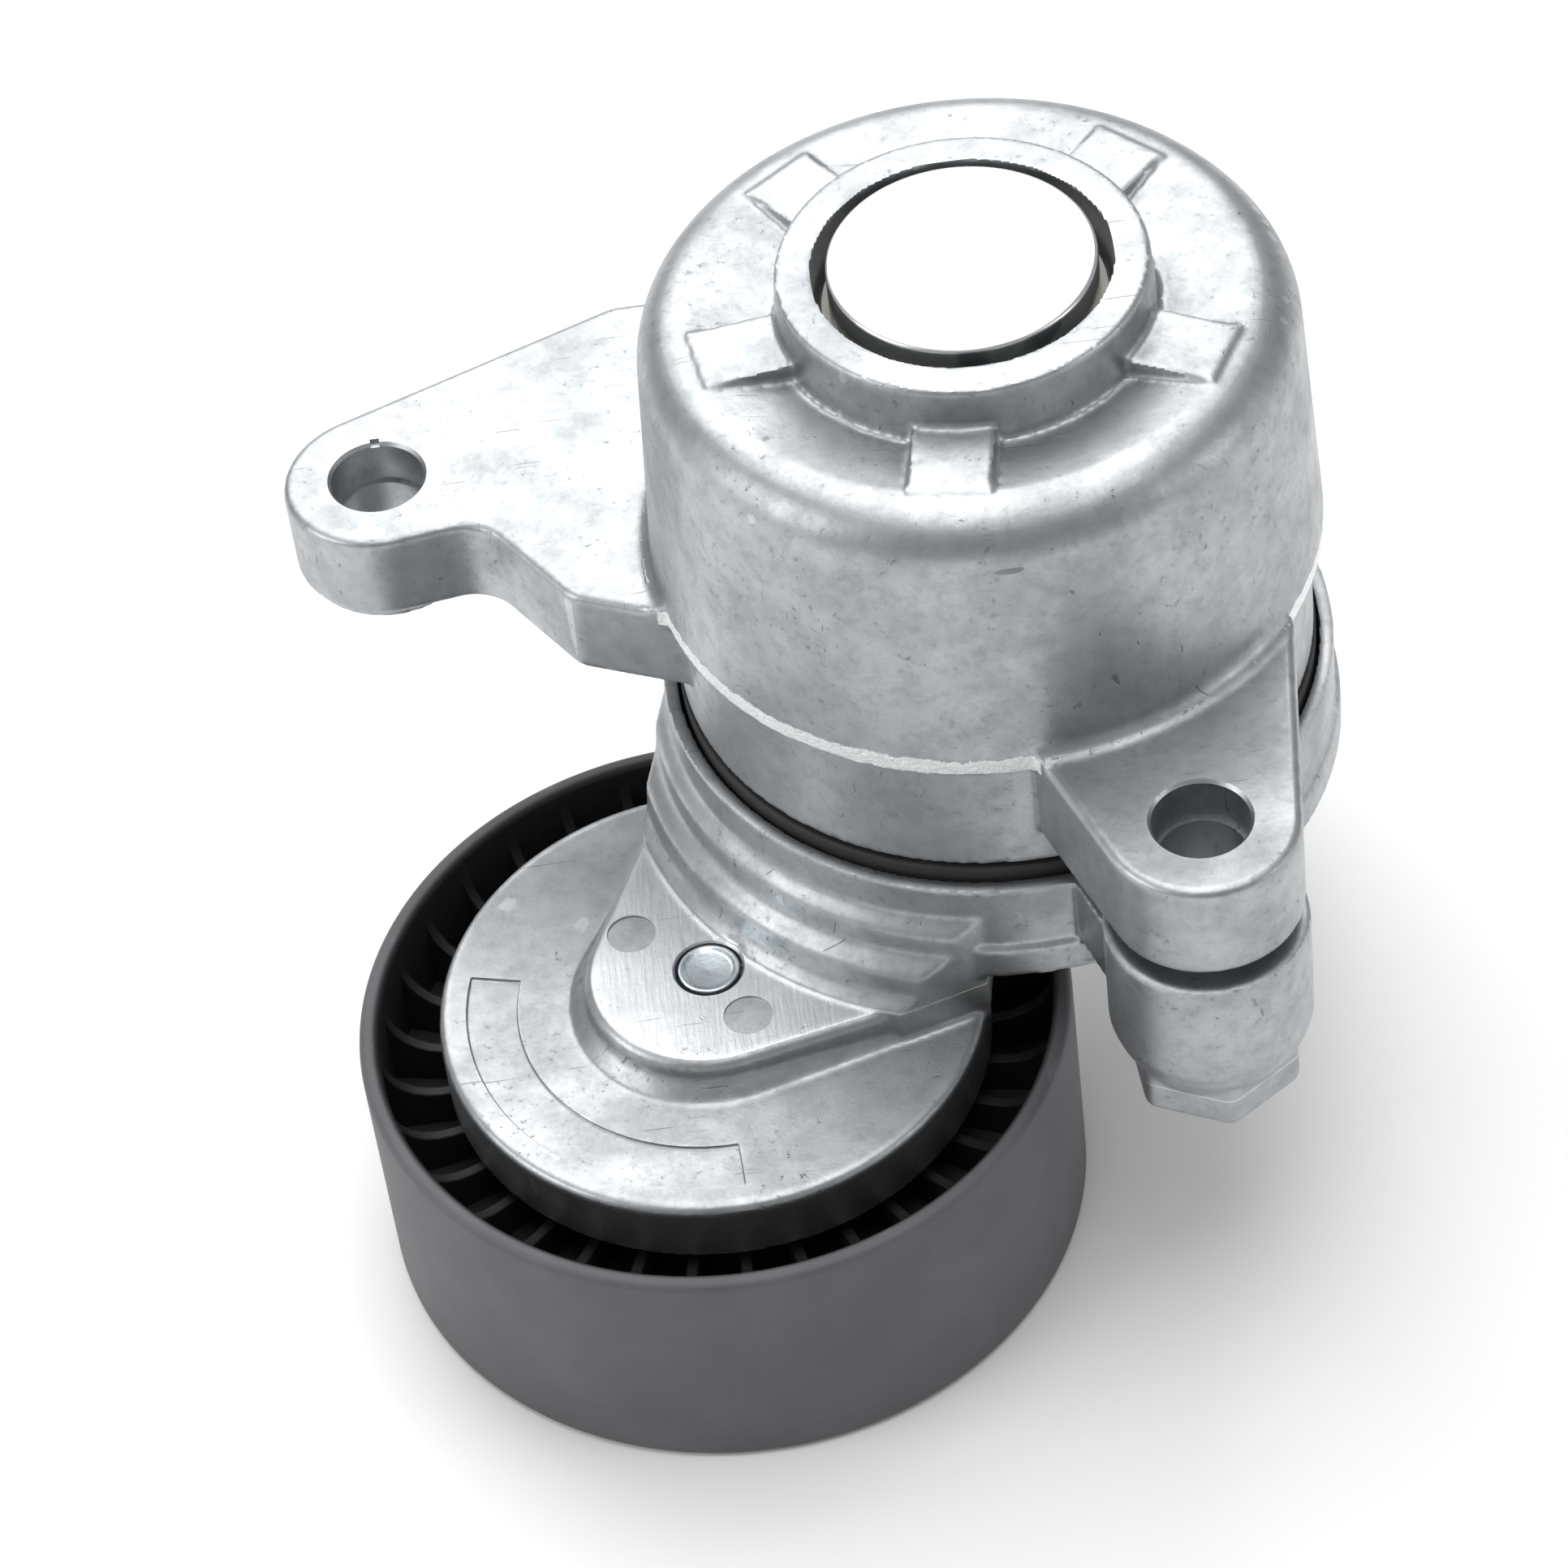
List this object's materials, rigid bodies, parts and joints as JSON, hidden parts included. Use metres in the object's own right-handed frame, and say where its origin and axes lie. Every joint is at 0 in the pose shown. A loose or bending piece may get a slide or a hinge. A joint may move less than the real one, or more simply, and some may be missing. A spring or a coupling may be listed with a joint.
{
  "type": "belt tensioner idler",
  "caption": "Automatic belt tensioner: die-cast spring case with two bolt ears, sprung swing arm and smooth plastic idler pulley on a ball bearing.",
  "frame": {"origin": "on the arm's pivot axis, in the plane of the two ears' mounting faces", "axes": "+Z along the pivot axis towards the pin's head; -Z is the pulley's side; X and Y lie in the mounting plane"},
  "size_m": [0.1009, 0.0971, 0.0963],
  "materials": {
    "cast_aluminium": "as-cast, satin",
    "turned_steel": "turned, bright",
    "zinc_plated_steel": "zinc plated",
    "spring_steel": "oil-tempered, dark",
    "bearing_steel": "ground",
    "black_polyamide": "moulded, satin",
    "pulley_polyamide": "glass-filled, satin",
    "white_acetal": "moulded",
    "bush_lining": "bronze-lined steel strip",
    "seal_rubber": "matte",
    "cage_polyamide": "moulded polyamide"
  },
  "bodies": {
    "case": {"case_cup": "cast_aluminium", "bush_tube": "cast_aluminium", "long_ear": "cast_aluminium", "short_ear": "cast_aluminium", "upper_bush": "bush_lining", "lower_bush": "bush_lining", "head_thrust_washer": "black_polyamide", "upper_spring_pad": "white_acetal", "torsion_spring": "spring_steel"},
    "arm": {"tension_arm": "cast_aluminium", "wrench_boss": "cast_aluminium", "pulley_cover": "cast_aluminium", "bearing_spigot": "cast_aluminium", "pivot_pin": "turned_steel", "lower_thrust_washer": "black_polyamide", "rivet_washer": "zinc_plated_steel", "lower_spring_pad": "white_acetal", "damping_ring": "black_polyamide", "bearing_inner_ring": "bearing_steel", "pulley_bolt": "zinc_plated_steel", "front_dust_shield": "zinc_plated_steel"},
    "pulley": {"pulley_rim": "pulley_polyamide", "pulley_web": "pulley_polyamide", "pulley_hub": "pulley_polyamide", "bearing_outer_ring": "bearing_steel", "bearing_seal_upper": "seal_rubber", "bearing_seal_lower": "seal_rubber"},
    "cage": {"bearing_cage": "cage_polyamide", "bearing_balls": "bearing_steel"}
  },
  "joints": [
    {"name": "arm_swing", "type": "hinge", "parent": "case", "child": "arm", "pos_m": [0, 0, 0], "axis": [0, 0, -1], "range_deg": [0, 55], "stiffness_Nm_per_rad": 10, "springref_deg": -17.19, "deforming": ["torsion_spring"]},
    {"name": "pulley_spin", "type": "hinge", "parent": "arm", "child": "pulley", "pos_m": [-0.03221, -0.02575, -0.0495], "axis": [0, 0, 1], "continuous": true},
    {"name": "cage_spin", "type": "hinge", "parent": "arm", "child": "cage", "pos_m": [-0.03221, -0.02575, -0.0495], "axis": [0, 0, 1], "continuous": true}
  ],
  "couplings": [
    {"joint": "cage_spin", "follows": "pulley_spin", "ratio": 0.3842}
  ]
}
